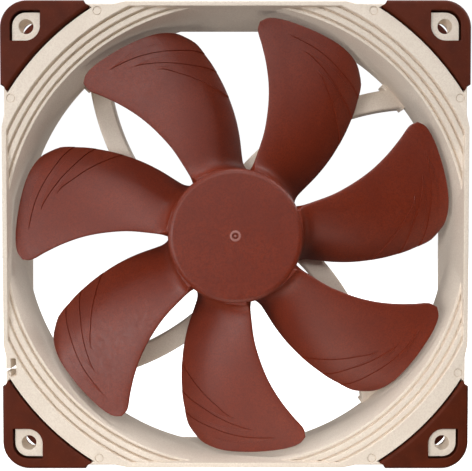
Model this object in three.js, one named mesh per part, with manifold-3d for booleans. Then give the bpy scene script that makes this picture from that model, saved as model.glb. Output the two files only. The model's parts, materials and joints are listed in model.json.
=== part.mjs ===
// A 140 mm case fan: a moulded frame with silicone corner pads, a brushless motor
// carried on four curved struts, and a seven-bladed impeller that turns on its bearing.
//
// Lengths are millimetres. The fan stands upright and draws air in through its front,
// which faces -Y. Shapes are drawn as seen from the front, x to the right and y up.
// A depth is counted from the front of the corner pads towards the rear of the fan.

import * as THREE from "three";
import { mergeVertices } from "three/addons/utils/BufferGeometryUtils.js";
import Module from "manifold-3d";

// ---------------------------------------------------------------- driving dimensions
const DEPTH = 25; // overall, across the pads
const HALF_SIDE = 70; // from the axis to the outer edge of a pad
const HOLE_PITCH = 124.5;
const HOLE_RADIUS = 2.18;
const GAP = 0.3; // between neighbouring pieces
const ROUND = 72; // facets round the large circles
const CUP_ROUND = 36; // facets round the motor's cup, its base and their like
const MOTOR_ROUND = 24; // facets round the small parts
const CORNER_STEPS = 3; // facets round a quarter circle of a small edge
const BEYOND = 1; // how far a cutting shape runs past the piece that it cuts

const FRAME = {
  front: 0.5, // the pads stand this far proud of the frame
  flange: 5.3, // depth of the back of the front flange
  side: 69.7, // flat middle of each side
  sideHalfLength: 32.5,
  recess: 68.9, // side line between the flat middle and a pad
  recessStart: 36.2,
  core: 68.6, // side line under a pad
  coreRadius: 6.8,
  inner: 68.25, // flats that cut the round duct on all four sides
  wallRadius: 73, // outside of the duct wall between the flanges
};

// Radius and depth of the air duct, from the stepped inlet back to the outlet.
const DUCT = [
  [75.0, 1.55],
  [73.1, 1.7],
  [73.1, 2.7],
  [71.1, 2.85],
  [71.1, 3.75],
  [70.0, 3.95],
  [68.7, 9],
  [68.7, 15],
  [70.65, 24.6],
];

const PAD = {
  start: 45.2, // distance of each leg's end from the middle of the side
  arc: 80.65, // radius of the inner edge, about the fan's axis
  cornerRadius: 8.2,
  skin: 1.6, // thickness over the flange
  lipWidth: 4.8, // how far the pad reaches in behind the flange
  lipDepth: 1,
  window: 9.3,
  boss: 8.3,
  bossFront: 0.9,
};

const STRUT = {
  count: 4,
  hubRadius: 19,
  hubAngle: 82,
  frameRadius: 71.8,
  frameAngle: 38.7,
  bulge: 6.1, // height of the arc over its chord
  width: 6.5,
  front: 19.6,
  bevel: 1,
  footWidth: 8.7,
  footFront: 18.6,
  channelWidth: 3.6,
  channelDepth: 2.4,
};

const NOTCH = { height: -40.1, width: 5.1, depth: 2.4, mouth: 1.1, hook: 0.9 };

const BASE = {
  radius: 21.5,
  front: 21.3,
  back: 24.4,
  rimFront: 19.2,
  rimWall: 1.9,
  edge: 0.5, // chamfer round the rear
  labelRecess: 0.5,
  labelThickness: 0.2,
  socketFront: 17.5,
  socketWall: 1.4,
};

const HUB = { radius: 20.5, front: 1.5, back: 18.7, wall: 1.6, roof: 2, rounding: 1.8 };

const BLADES = 7;
const FIRST_BLADE = 133.9; // angle of the forward tip of the first blade, in degrees
const BLADE = {
  tipRadius: 67.1,
  rootThickness: 1.9,
  tipThickness: 1.2,
  edgeThickness: 0.55,
  camber: 0.28,
  leadingDepth: [4.3, 3.4], // at the root and at the tip
  trailingDepth: [17.4, 13.2],
};

// Stations up the blade: radius, angle of the leading edge, angle of the trailing edge.
const STATIONS = [
  [19.7, -5.9, -51.6],
  [26, -7.3, -48.2],
  [32, -7.9, -46.1],
  [38, -7.1, -43.8],
  [45, -5.4, -40.7],
  [52, -2.9, -37.5],
  [58, -0.4, -34.5],
  [62.3, 1.3, -32.1],
  [65, 1.0, -29.3],
];

// The tip edge from the leading to the trailing corner: angle and radius.
const TIP = [
  [1.0, 65],
  [-1.0, 66.5],
  [-4.3, BLADE.tipRadius],
  [-10, BLADE.tipRadius],
  [-16, BLADE.tipRadius],
  [-21, BLADE.tipRadius],
  [-24.3, 66.8],
  [-27.1, 66.1],
  [-29.3, 65],
];

const MOTOR = {
  yokeRadius: 18.6,
  yokeBore: 3.6,
  yokeWall: 1,
  yokeFront: 3.8,
  yokeBack: 18.2,
  magnetRadius: 17.3,
  magnetWall: 2,
  magnetFront: 7,
  magnetBack: 18,
  shaftRadius: 1.5,
  shaftChamfer: 0.3,
  shaftBack: 21,
  bushRadius: 3.3,
  bushBack: 6.6,
  housingRadius: 4.9,
  housingWall: 1.2,
  housingFront: 7.4,
  housingBack: 23.2,
  sealFront: 7.6,
  sleeveFront: 8.6,
  sleeveBack: 18.6,
  sleeveClearance: 0.1,
  steadyingMagnetBack: 20.4,
  thrustFront: 21.3,
  thrustBack: 21.7,
  coreFront: 10,
  coreBack: 15.5,
  coreRadius: 14.6,
  coreRing: 2, // wall of the core's inner ring
  poles: 4,
  armWidth: 3.4,
  shoeInner: 12.4,
  shoeHalfWidth: 6.6,
  insulatorThickness: 0.8,
  insulatorShrink: 0.3,
  coilInner: 7.8,
  coilOuter: 12.1,
  coilHalfWidth: 4.9,
  coilWall: 1.4,
  coilRounding: 1.2,
  boardFront: 20,
  boardBack: 21,
  boardRadius: 18.5,
  partFront: 18.8, // front of the parts soldered to the board
  pinRadius: 0.35,
  pinCircle: 13.5,
  pinAngles: [0, 90, 180],
};

// Parts on the front of the circuit board: x, y, width, height and colour.
const BOARD_PARTS = {
  driver_chip: [0, -13, 5, 4, "chip"],
  hall_sensor: [11.4, 11.4, 3, 3, "chip"],
  capacitor: [-9.6, 9.6, 3.2, 2.4, "bronze"],
};

const COLOURS = {
  frame: [0xe3d6c8, 0.5, 0],
  pad: [0x50271a, 0.75, 0],
  impeller: [0x823f38, 0.55, 0],
  steel: [0xb4b6b8, 0.35, 1],
  magnet: [0x2c2a2b, 0.6, 0.2],
  brass: [0xb58b45, 0.35, 1],
  bronze: [0x8a6a3e, 0.5, 0.8],
  lamination: [0x6d7074, 0.45, 0.9],
  insulator: [0xded8c8, 0.5, 0],
  copper: [0xb0662f, 0.35, 0.9],
  board: [0x2f5d3a, 0.5, 0],
  chip: [0x1d1d1f, 0.4, 0],
  label: [0xd9cbb8, 0.6, 0],
};

// ------------------------------------------------------------------- geometry helpers
const wasm = await Module();
wasm.setup();

const radians = THREE.MathUtils.degToRad;
const lerp = THREE.MathUtils.lerp;
const polar = (radius, degrees) =>
  new THREE.Vector2(Math.cos(radians(degrees)), Math.sin(radians(degrees))).multiplyScalar(radius);

/** A closed geometry as a solid that can be joined and cut, with its faces outwards. */
function solid(geometry) {
  const bare = geometry.clone();
  bare.deleteAttribute("normal");
  bare.deleteAttribute("uv");
  const welded = mergeVertices(bare);
  const vertProperties = new Float32Array(welded.attributes.position.array);
  const triVerts = new Uint32Array(welded.index.array);
  const made = new wasm.Manifold(new wasm.Mesh({ numProp: 3, vertProperties, triVerts }));
  if (made.volume() > 0) return made;
  triVerts.reverse();
  return new wasm.Manifold(new wasm.Mesh({ numProp: 3, vertProperties, triVerts }));
}

/** A finished solid as a geometry again. */
function geometryOf(body) {
  const { numProp, vertProperties, triVerts } = body.getMesh();
  const geometry = new THREE.BufferGeometry();
  geometry.setAttribute("position", new THREE.BufferAttribute(vertProperties, numProp));
  geometry.setIndex(new THREE.BufferAttribute(triVerts, 1));
  geometry.computeVertexNormals();
  return geometry;
}

/** Joins solids into one. */
const join = (bodies) => bodies.reduce((sum, body) => sum.add(body));

/** Cuts each of the others out of the first solid. */
const cut = (body, others) => others.reduce((rest, other) => rest.subtract(other), body);

/** A flat outline made thick, from one depth back to another. */
function slab(shape, from, to, curveSegments = 5) {
  const options = { depth: to - from, bevelEnabled: false, curveSegments };
  return new THREE.ExtrudeGeometry(shape, options).translate(0, 0, DEPTH / 2 - to);
}

/** A closed profile of [radius, depth] points turned about the fan's axis. */
function turned(profile, facets = MOTOR_ROUND) {
  const points = profile.map(([radius, depth]) => new THREE.Vector2(radius, DEPTH / 2 - depth));
  return new THREE.LatheGeometry(points, facets).rotateX(Math.PI / 2);
}

/** A ring, or a disc when its inner radius is zero, between two depths. */
function ring(inner, outer, from, to, facets = MOTOR_ROUND) {
  const profile = [
    [inner, from],
    [outer, from],
    [outer, to],
    [inner, to],
  ];
  if (inner > 0) profile.push([inner, from]);
  return turned(profile, facets);
}

/** A circle as an outline. */
function circle(radius, x = 0, y = 0) {
  return new THREE.Shape().absarc(x, y, radius, 0, 2 * Math.PI, false);
}

/** An upright rectangle as an outline. */
function rectangle(x0, y0, x1, y1) {
  return new THREE.Shape([
    new THREE.Vector2(x0, y0),
    new THREE.Vector2(x1, y0),
    new THREE.Vector2(x1, y1),
    new THREE.Vector2(x0, y1),
  ]);
}

/** A rectangle about the origin with round corners, given half its width and height. */
function roundedRectangle(halfWidth, halfHeight, radius) {
  const [x, y] = [halfWidth - radius, halfHeight - radius];
  return new THREE.Shape()
    .absarc(x, y, radius, 0, 0.5 * Math.PI, false)
    .absarc(-x, y, radius, 0.5 * Math.PI, Math.PI, false)
    .absarc(-x, -y, radius, Math.PI, 1.5 * Math.PI, false)
    .absarc(x, -y, radius, 1.5 * Math.PI, 2 * Math.PI, false)
    .closePath();
}

/** Copies of a solid in equal steps round the fan's axis, itself first. */
function around(count, body) {
  const turn = (2 * Math.PI) / count;
  return Array.from({ length: count }, (_, i) => solid(geometryOf(body).rotateZ(i * turn)));
}

/** The same slab in the front flange and, mirrored, in the rear one. */
function inBothFlanges(shape, from, to) {
  return [slab(shape, from, to), slab(shape, DEPTH - to, DEPTH - from)];
}

// -------------------------------------------------------------------------- the frame
/** Outline of a flange: flat sides, a recess at each pad, and round corners. */
function flangeOutline() {
  const { side, sideHalfLength, recess, recessStart, core, coreRadius } = FRAME;
  const end = PAD.start - GAP;
  const halfSide = [
    [side, sideHalfLength],
    [recess, recessStart],
    [recess, end],
    [core, end],
  ];
  const along = [...halfSide.map(([x, y]) => [x, -y]).reverse(), ...halfSide];
  const centre = core - coreRadius;
  const points = [];
  for (let quarter = 0; quarter < 4; quarter++) {
    const turn = quarter * 90;
    const turnAbout = (v) => v.rotateAround(new THREE.Vector2(), radians(turn));
    for (const [x, y] of along) points.push(turnAbout(new THREE.Vector2(x, y)));
    for (let step = 0; step <= CORNER_STEPS; step++) {
      const onArc = polar(coreRadius, (step * 90) / CORNER_STEPS);
      points.push(turnAbout(onArc.add(new THREE.Vector2(centre, centre))));
    }
  }
  return new THREE.Shape(points);
}

/** A square with two opposite corners rounded, centred on the screw hole. */
function leaf(size) {
  const half = size / 2;
  const centre = HOLE_PITCH / 2;
  return new THREE.Shape()
    .moveTo(centre - half, centre + half)
    .lineTo(centre - half, centre)
    .absarc(centre, centre, half, Math.PI, 1.5 * Math.PI, false)
    .lineTo(centre + half, centre - half)
    .lineTo(centre + half, centre)
    .absarc(centre, centre, half, 0, 0.5 * Math.PI, false)
    .lineTo(centre - half, centre + half);
}

/** The corner of a flange outside a circle about the axis, where a pad sits. */
function cornerOutline(start, arc, reach) {
  const far = Math.sqrt(arc ** 2 - start ** 2);
  const angle = Math.atan2(far, start);
  return new THREE.Shape()
    .moveTo(start, far)
    .absarc(0, 0, arc, angle, Math.PI / 2 - angle, true)
    .lineTo(reach, start)
    .lineTo(reach, reach)
    .lineTo(start, reach)
    .lineTo(start, far);
}

/** The air's way through the frame: the turned duct, cut off by a flat on each side. */
function ductSpace() {
  const [mouthRadius] = DUCT[0];
  const [outletRadius] = DUCT[DUCT.length - 1];
  const [before, behind] = [-BEYOND, DEPTH + BEYOND];
  const ends = [[0, before], [mouthRadius, before], [outletRadius, behind], [0, behind]];
  const profile = [...ends.slice(0, 2), ...DUCT, ...ends.slice(2)];
  const flats = rectangle(-FRAME.inner, -FRAME.inner, FRAME.inner, FRAME.inner);
  const square = solid(slab(flats, before - BEYOND, behind + BEYOND));
  return solid(turned(profile, ROUND)).intersect(square);
}

/** The two flanges and the wall between them, still without the duct. */
function frameBlock() {
  const { front, flange, side, wallRadius } = FRAME;
  const walls = rectangle(-side, -side, side, side);
  const inside = (front + flange) / 2;
  const wall = solid(ring(0, wallRadius, inside, DEPTH - inside, ROUND));
  const plates = inBothFlanges(flangeOutline(), front, flange).map(solid);
  return join([wall.intersect(solid(slab(walls, 0, DEPTH))), ...plates]);
}

/** The pocket under each pad, with the screw boss left standing, and the screw holes. */
function cornerCuts() {
  const pocket = cornerOutline(PAD.start - GAP, PAD.arc - GAP, HALF_SIDE + BEYOND);
  pocket.holes.push(leaf(PAD.boss));
  const overBoss = leaf(PAD.window);
  const hole = circle(HOLE_RADIUS, HOLE_PITCH / 2, HOLE_PITCH / 2);
  const cuts = [
    ...inBothFlanges(pocket, -BEYOND, PAD.skin + GAP),
    ...inBothFlanges(overBoss, -BEYOND, PAD.bossFront),
    slab(hole, -BEYOND, DEPTH + BEYOND),
  ];
  return cuts.flatMap((one) => around(4, solid(one)));
}

/** The cable notch in the left side of each flange: a slot behind two small hooks. */
function notchCuts() {
  const { height, width, depth, mouth, hook } = NOTCH;
  const edge = -FRAME.recess;
  const slot = rectangle(edge + hook, height - width / 2, edge + depth, height + width / 2);
  const gateEnd = edge + (hook + depth) / 2;
  const gate = rectangle(edge - BEYOND, height - mouth / 2, gateEnd, height + mouth / 2);
  const through = (shape) => inBothFlanges(shape, -BEYOND, FRAME.flange + BEYOND);
  return [slot, gate].flatMap(through).map(solid);
}

/** Centre, radius and end angles of the arc that a strut follows. */
function strutArc() {
  const hubEnd = polar(STRUT.hubRadius, STRUT.hubAngle);
  const frameEnd = polar(STRUT.frameRadius, STRUT.frameAngle);
  const chord = frameEnd.clone().sub(hubEnd);
  const halfChord = chord.length() / 2;
  const radius = (halfChord ** 2 + STRUT.bulge ** 2) / (2 * STRUT.bulge);
  const outwards = new THREE.Vector2(-chord.y, chord.x).normalize();
  const middle = hubEnd.clone().add(frameEnd).multiplyScalar(0.5);
  const centre = middle.addScaledVector(outwards, STRUT.bulge - radius);
  const angleOf = (point) => Math.atan2(point.y - centre.y, point.x - centre.x);
  return { centre, radius, from: angleOf(hubEnd), to: angleOf(frameEnd) };
}

/** A band along the strut's arc, between two of its angles. */
function strutBand(width, from, to) {
  const { centre, radius } = strutArc();
  return new THREE.Shape()
    .absarc(centre.x, centre.y, radius + width / 2, from, to, true)
    .absarc(centre.x, centre.y, radius - width / 2, to, from, false)
    .closePath();
}

/** One strut with its stepped foot on the duct wall. */
function strut() {
  const { width, front, bevel, footWidth, footFront, frameRadius } = STRUT;
  const { radius, from, to } = strutArc();
  const back = DEPTH - FRAME.front;
  const bar = new THREE.ExtrudeGeometry(strutBand(width - 2 * bevel, from, to), {
    depth: back - front - 2 * bevel,
    bevelSize: bevel,
    bevelThickness: bevel,
    bevelSegments: 1,
    curveSegments: 9,
  }).translate(0, 0, DEPTH / 2 - back + bevel);
  const footLength = (frameRadius - FRAME.inner) / radius;
  const foot = slab(strutBand(footWidth, to + footLength, to), footFront, back, 2);
  return join([solid(bar), solid(foot)]);
}

/** The disc behind the hub that carries the motor, with a rim and a bearing socket. */
function motorBase() {
  const { radius, front, back, rimFront, rimWall, edge, labelRecess } = BASE;
  const { socketFront, socketWall } = BASE;
  const socket = MOTOR.housingRadius + GAP;
  const socketFloor = MOTOR.housingBack + GAP;
  return turned(
    [
      [0, socketFloor],
      [socket, socketFloor],
      [socket, socketFront],
      [socket + socketWall, socketFront],
      [socket + socketWall, front],
      [radius - rimWall, front],
      [radius - rimWall, rimFront],
      [radius, rimFront],
      [radius, back - edge],
      [radius - edge, back],
      [radius - rimWall, back],
      [radius - rimWall, back - labelRecess],
      [0, back - labelRecess],
    ],
    CUP_ROUND,
  );
}

/** The channel for the leads, in the back of the strut that ends beside the notch. */
function leadChannel() {
  const { radius, from, to } = strutArc();
  const back = DEPTH - FRAME.front;
  const past = BEYOND / radius;
  const band = strutBand(STRUT.channelWidth, from + past, to - past);
  const channel = slab(band, back - STRUT.channelDepth, DEPTH + BEYOND);
  return solid(channel.rotateZ(Math.PI));
}

function frame() {
  const shell = cut(frameBlock(), [ductSpace()]);
  const motorRadius = BASE.radius - BASE.rimWall;
  const motorSpace = solid(ring(0, motorRadius, HUB.front, DEPTH + BEYOND, CUP_ROUND));
  const struts = around(STRUT.count, cut(strut(), [motorSpace]));
  const body = join([shell, ...struts, solid(motorBase())]);
  return cut(body, [...cornerCuts(), ...notchCuts(), leadChannel()]);
}

// --------------------------------------------------------------------- the corner pads
/** A pad over the front corner to the upper right: skin, outer edges and a lip behind. */
function cornerPad() {
  const { start, arc, cornerRadius, skin, lipWidth, lipDepth, window } = PAD;
  const outline = cornerOutline(start, arc, HALF_SIDE + BEYOND);
  const square = (half, radius) => roundedRectangle(half, half, radius);
  const outside = square(HALF_SIDE, cornerRadius);
  const core = square(FRAME.core + GAP, FRAME.coreRadius + GAP);
  const lipInside = square(HALF_SIDE - lipWidth, cornerRadius - lipWidth);
  const back = FRAME.flange + GAP + lipDepth;
  const rounded = solid(slab(outside, -BEYOND, back + BEYOND));
  return cut(solid(slab(outline, 0, back)).intersect(rounded), [
    solid(slab(core, skin, FRAME.flange + GAP)),
    solid(slab(lipInside, skin + BEYOND, back + BEYOND)),
    solid(slab(leaf(window), -BEYOND, skin + BEYOND)),
  ]);
}

// ------------------------------------------------------------------------ the impeller
/** A point on a smooth curve through rows of numbers, t running from 0 to 1. */
function alongRows(rows, t) {
  const points = rows.map((row) => new THREE.Vector3().fromArray([...row, 0]));
  return new THREE.CatmullRomCurve3(points).getPoint(t).toArray();
}

/** A point of the blade's middle surface, span and chord running from 0 to 1. */
function bladePoint(span, chord) {
  const [stationRadius, leading, trailing] = alongRows(STATIONS, span);
  const [tipAngle, tipRadius] = alongRows(TIP, chord);
  const [topRadius, topLeading, topTrailing] = STATIONS[STATIONS.length - 1];
  const tipShift = tipAngle - lerp(topLeading, topTrailing, chord);
  const angle = lerp(leading, trailing, chord) + span * tipShift;
  const radius = stationRadius + span * (tipRadius - topRadius);
  const sweep = chord + BLADE.camber * (chord * chord - chord);
  const depth = lerp(lerp(...BLADE.leadingDepth, span), lerp(...BLADE.trailingDepth, span), sweep);
  const flat = polar(radius, FIRST_BLADE + angle);
  return new THREE.Vector3(flat.x, flat.y, DEPTH / 2 - depth);
}

/** The surface's normal there, towards the front. */
function bladeNormal(span, chord) {
  const step = 0.01;
  const alongSpan = bladePoint(Math.min(span + step, 1), chord);
  alongSpan.sub(bladePoint(Math.max(span - step, 0), chord));
  const alongChord = bladePoint(span, Math.min(chord + step, 1));
  alongChord.sub(bladePoint(span, Math.max(chord - step, 0)));
  return alongChord.cross(alongSpan).normalize();
}

/** Half the blade's thickness: full in the middle of the chord, thin at its edges. */
function bladeHalfThickness(span, chord) {
  const full = lerp(BLADE.rootThickness, BLADE.tipThickness, span);
  const fullness = Math.sin(Math.PI * chord) ** 0.5;
  return lerp(BLADE.edgeThickness, full, fullness) / 2;
}

/** One blade as a closed sheet: a front and a back skin, joined round their edge. */
function blade(spans = 9, chords = 6) {
  const columns = chords + 1;
  const skinSize = (spans + 1) * columns;
  const positions = [];
  for (const side of [1, -1]) {
    for (let i = 0; i <= spans; i++) {
      for (let j = 0; j <= chords; j++) {
        const at = [i / spans, j / chords];
        const offset = side * bladeHalfThickness(...at);
        positions.push(...bladePoint(...at).addScaledVector(bladeNormal(...at), offset).toArray());
      }
    }
  }
  const index = [];
  const quad = (a, b, c, d) => index.push(a, b, c, a, c, d);
  for (let i = 0; i < spans; i++) {
    for (let j = 0; j < chords; j++) {
      const corner = i * columns + j;
      const loop = [corner, corner + 1, corner + columns + 1, corner + columns];
      quad(...loop);
      quad(...loop.reverse().map((k) => k + skinSize));
    }
  }
  const rim = [
    ...Array.from({ length: chords }, (_, j) => j),
    ...Array.from({ length: spans }, (_, i) => i * columns + chords),
    ...Array.from({ length: chords }, (_, j) => spans * columns + chords - j),
    ...Array.from({ length: spans }, (_, i) => (spans - i) * columns),
  ];
  rim.forEach((a, k) => {
    const b = rim[(k + 1) % rim.length];
    quad(b, a, a + skinSize, b + skinSize);
  });
  const geometry = new THREE.BufferGeometry();
  geometry.setAttribute("position", new THREE.Float32BufferAttribute(positions, 3));
  return geometry.setIndex(index);
}

/** The hub cup, open to the rear, with a rounded front edge. */
function hub() {
  const { radius, front, back, wall, roof, rounding } = HUB;
  const profile = [[0, front]];
  for (let step = 0; step <= CORNER_STEPS; step++) {
    const corner = polar(rounding, 90 - (step * 90) / CORNER_STEPS);
    profile.push([radius - rounding + corner.x, front + rounding - corner.y]);
  }
  profile.push([radius, back], [radius - wall, back], [radius - wall, front + roof]);
  profile.push([0, front + roof]);
  return turned(profile, ROUND);
}

/** Hub and blades in one moulding. */
function impeller() {
  const { radius, front, back, wall, roof } = HUB;
  const cavity = ring(0, radius - wall, front + roof, back + BEYOND, ROUND);
  const moulding = join([solid(hub()), ...around(BLADES, solid(blade()))]);
  return cut(moulding, [solid(cavity)]);
}

// --------------------------------------------------------------------------- the motor
/** Steel cup inside the hub, with a hole for the shaft's bush. */
function yoke() {
  const { yokeRadius, yokeBore, yokeWall, yokeFront, yokeBack } = MOTOR;
  const profile = [
    [yokeBore, yokeFront],
    [yokeRadius, yokeFront],
    [yokeRadius, yokeBack],
    [yokeRadius - yokeWall, yokeBack],
    [yokeRadius - yokeWall, yokeFront + yokeWall],
    [yokeBore, yokeFront + yokeWall],
    [yokeBore, yokeFront],
  ];
  return solid(turned(profile, CUP_ROUND));
}

/** Shaft with a chamfer at each end. */
function shaft() {
  const { shaftRadius, shaftChamfer, shaftBack, yokeFront } = MOTOR;
  const profile = [
    [0, yokeFront],
    [shaftRadius - shaftChamfer, yokeFront],
    [shaftRadius, yokeFront + shaftChamfer],
    [shaftRadius, shaftBack - shaftChamfer],
    [shaftRadius - shaftChamfer, shaftBack],
    [0, shaftBack],
  ];
  return solid(turned(profile));
}

/** Tube closed at the rear that holds the sleeve bearing. */
function bearingHousing() {
  const { housingRadius, housingWall, housingFront, housingBack } = MOTOR;
  const inside = housingRadius - housingWall;
  const profile = [
    [inside, housingFront],
    [housingRadius, housingFront],
    [housingRadius, housingBack],
    [0, housingBack],
    [0, housingBack - housingWall],
    [inside, housingBack - housingWall],
    [inside, housingFront],
  ];
  return solid(turned(profile));
}

/** A ring with a T-shaped tooth for each pole: the core, or an insulator a little smaller. */
function stator(from, to, shrink = 0) {
  const { poles, armWidth, coreRadius, coreRing, shoeInner, shoeHalfWidth } = MOTOR;
  const bore = MOTOR.housingRadius + GAP;
  const ringOutside = bore + coreRing;
  const halfArm = armWidth / 2;
  const rim = coreRadius - shrink;
  const sweep = Math.asin((shoeHalfWidth - shrink) / rim);
  const shoe = new THREE.Shape()
    .absarc(0, 0, rim, -sweep, sweep, false)
    .lineTo(shoeInner, shoeHalfWidth - shrink)
    .lineTo(shoeInner, shrink - shoeHalfWidth)
    .closePath();
  const arm = rectangle(bore + coreRing / 2, -halfArm, (shoeInner + rim) / 2, halfArm);
  const tooth = solid(slab(shoe, from, to, 4)).add(solid(slab(arm, from, to)));
  return join([solid(ring(bore, ringOutside, from, to)), ...around(poles, tooth)]);
}

/** The winding round the tooth that points to the right. */
function coil() {
  const { armWidth, coreFront, coreBack, insulatorThickness } = MOTOR;
  const { coilInner, coilOuter, coilHalfWidth, coilWall, coilRounding } = MOTOR;
  const stackHeight = coreBack - coreFront + 2 * (GAP + insulatorThickness);
  const [insideX, insideY] = [armWidth / 2 + GAP, stackHeight / 2 + GAP];
  const outline = roundedRectangle(coilHalfWidth, insideY + coilWall, coilRounding);
  outline.holes.push(rectangle(-insideX, -insideY, insideX, insideY));
  const options = { depth: coilOuter - coilInner, bevelEnabled: false, curveSegments: 3 };
  const along = new THREE.ExtrudeGeometry(outline, options);
  along.rotateX(Math.PI / 2).rotateZ(Math.PI / 2);
  const middle = DEPTH / 2 - (coreFront + coreBack) / 2;
  return solid(along.translate(coilInner, 0, middle));
}

/** Where the terminal pins stand: each behind the end of a tooth. */
const pinPlaces = () => MOTOR.pinAngles.map((angle) => polar(MOTOR.pinCircle, angle));

/** One pin, from the rear insulator through the circuit board. */
function terminalPin({ x, y }) {
  const { pinRadius, coreBack, insulatorThickness, boardBack } = MOTOR;
  const from = coreBack + insulatorThickness + 2 * GAP;
  return solid(slab(circle(pinRadius, x, y), from, boardBack, 3));
}

/** The round circuit board, with a hole for the socket and one for each pin. */
function circuitBoard() {
  const { boardFront, boardBack, boardRadius, housingRadius, pinRadius } = MOTOR;
  const bore = housingRadius + BASE.socketWall + 2 * GAP;
  const drill = ({ x, y }) => {
    const hole = circle(pinRadius + GAP, x, y);
    return solid(slab(hole, boardFront - BEYOND, boardBack + BEYOND, 3));
  };
  return cut(solid(ring(bore, boardRadius, boardFront, boardBack)), pinPlaces().map(drill));
}

/** A flat part on the board's front: its centre and its two sides. */
function boardPart(x, y, width, height) {
  const outline = rectangle(x - width / 2, y - height / 2, x + width / 2, y + height / 2);
  return solid(slab(outline, MOTOR.partFront, MOTOR.boardFront - GAP));
}

// ------------------------------------------------------------------------ the assembly
const fan = new THREE.Group();
fan.rotation.x = Math.PI / 2; // the drawn front turns to face -Y

/** Adds one named piece to the fan and gives back its mesh. */
function add(name, body, colour) {
  const [color, roughness, metalness] = COLOURS[colour];
  const material = new THREE.MeshStandardMaterial({ color, roughness, metalness });
  const mesh = new THREE.Mesh(geometryOf(body), material);
  mesh.name = name;
  fan.add(mesh);
  return mesh;
}

/** The pads: one in front of each corner, and the same pad turned over behind it. */
function addPads() {
  const pad = cornerPad();
  const axis = new THREE.Vector3(0, 0, 1);
  const diagonal = new THREE.Vector3(1, 1, 0).normalize();
  const over = new THREE.Quaternion().setFromAxisAngle(diagonal, Math.PI);
  ["upper_right", "upper_left", "lower_left", "lower_right"].forEach((corner, i) => {
    const quarter = new THREE.Quaternion().setFromAxisAngle(axis, (i * Math.PI) / 2);
    add(`front_pad_${corner}`, pad, "pad").quaternion.copy(quarter);
    add(`rear_pad_${corner}`, pad, "pad").quaternion.copy(quarter).multiply(over);
  });
}

/** What turns inside the hub. */
function addRotor() {
  const { magnetRadius, magnetWall, magnetFront, magnetBack, shaftRadius } = MOTOR;
  const { yokeFront, bushRadius, bushBack } = MOTOR;
  const magnetBore = magnetRadius - magnetWall;
  const magnet = ring(magnetBore, magnetRadius, magnetFront, magnetBack, CUP_ROUND);
  add("rotor_yoke", yoke(), "steel");
  add("rotor_magnet", solid(magnet), "magnet");
  add("shaft", shaft(), "steel");
  add("shaft_bush", solid(ring(shaftRadius + GAP, bushRadius, yokeFront, bushBack)), "brass");
}

/** The bearing's tube and what lies in it, from the front to the rear. */
function addBearing() {
  const { housingRadius, housingWall, shaftRadius, sleeveClearance } = MOTOR;
  const { sealFront, sleeveFront, sleeveBack, steadyingMagnetBack } = MOTOR;
  const { thrustFront, thrustBack } = MOTOR;
  const outside = housingRadius - housingWall - GAP;
  const loose = shaftRadius + GAP;
  const running = shaftRadius + sleeveClearance;
  const magnetFront = sleeveBack + GAP;
  add("bearing_housing", bearingHousing(), "brass");
  add("oil_seal", solid(ring(loose, outside, sealFront, sleeveFront - GAP)), "chip");
  add("bearing_sleeve", solid(ring(running, outside, sleeveFront, sleeveBack)), "bronze");
  add("bearing_magnet", solid(ring(loose, outside, magnetFront, steadyingMagnetBack)), "magnet");
  add("thrust_plate", solid(ring(0, outside, thrustFront, thrustBack)), "insulator");
}

/** The wound stator: its core between two insulators, and a coil on each tooth. */
function addStator() {
  const { coreFront, coreBack, insulatorThickness, insulatorShrink, poles } = MOTOR;
  const frontBack = coreFront - GAP;
  const rearFront = coreBack + GAP;
  const frontFace = frontBack - insulatorThickness;
  const rearFace = rearFront + insulatorThickness;
  add("stator_core", stator(coreFront, coreBack), "lamination");
  add("front_insulator", stator(frontFace, frontBack, insulatorShrink), "insulator");
  add("rear_insulator", stator(rearFront, rearFace, insulatorShrink), "insulator");
  around(poles, coil()).forEach((winding, i) => add(`coil_${i + 1}`, winding, "copper"));
}

/** The circuit board with its parts, and the pins that join the coils to it. */
function addCircuit() {
  add("circuit_board", circuitBoard(), "board");
  for (const [name, [x, y, width, height, colour]] of Object.entries(BOARD_PARTS)) {
    add(name, boardPart(x, y, width, height), colour);
  }
  pinPlaces().forEach((place, i) => add(`terminal_pin_${i + 1}`, terminalPin(place), "steel"));
}

/** The blank label in the recess behind the motor. */
function addLabel() {
  const radius = BASE.radius - BASE.rimWall - GAP;
  const front = BASE.back - BASE.labelRecess + GAP;
  const label = ring(0, radius, front, front + BASE.labelThickness, CUP_ROUND);
  add("rear_label", solid(label), "label");
}

add("frame", frame(), "frame");
addPads();
add("impeller", impeller(), "impeller");
addRotor();
addBearing();
addStator();
addCircuit();
addLabel();

export default fan;
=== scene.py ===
"""A 140 mm case fan: the detailed visual model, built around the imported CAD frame.

Lengths are millimetres until a piece is finished, and metres in the scene. Shapes are drawn as
seen from the front, x to the right and y up. A depth is counted from the front of the corner
pads towards the rear, as in the CAD model, whose driving dimensions are repeated here.
"""

import json
import math

import bmesh
import bpy
import numpy as np
from mathutils import Matrix, Vector


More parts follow.
